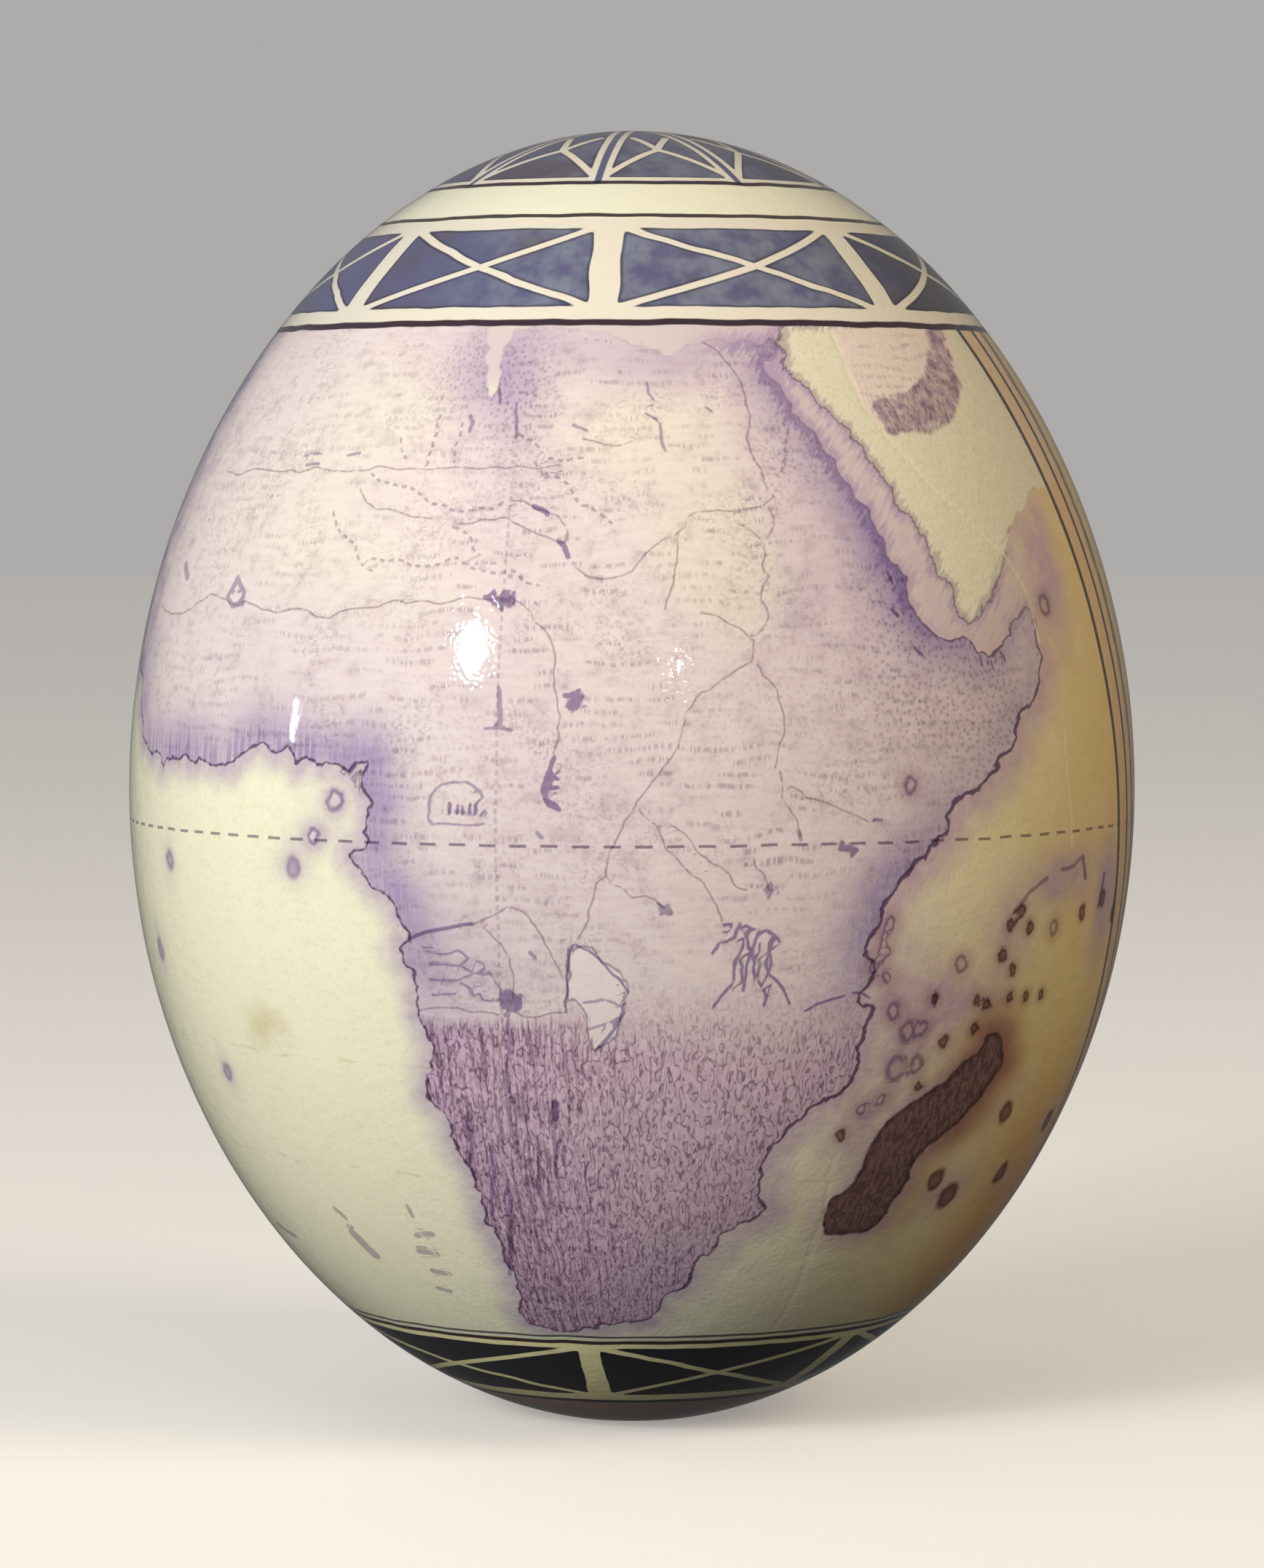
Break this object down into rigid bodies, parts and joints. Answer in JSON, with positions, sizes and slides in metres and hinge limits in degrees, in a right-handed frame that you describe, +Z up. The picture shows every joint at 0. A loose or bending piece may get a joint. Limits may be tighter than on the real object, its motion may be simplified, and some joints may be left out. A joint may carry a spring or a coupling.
{
  "type": "ostrich egg",
  "caption": "Ostrich egg standing upright on its blunt end, covered with a printed antique-style map and patterned bands under gloss lacquer.",
  "frame": {"origin": "centre of the small sanded flat at the blunt end, on the surface that the egg stands on", "axes": "+Z up along the egg's own axis, towards its slightly more pointed end; -Y towards the viewer, out of the side whose map faces the camera"},
  "size_m": [0.124, 0.124, 0.1582],
  "materials": {
    "lacquered_print": "printed paper under clear gloss lacquer on eggshell"
  },
  "bodies": {
    "root": {"egg": "lacquered_print"}
  },
  "joints": []
}
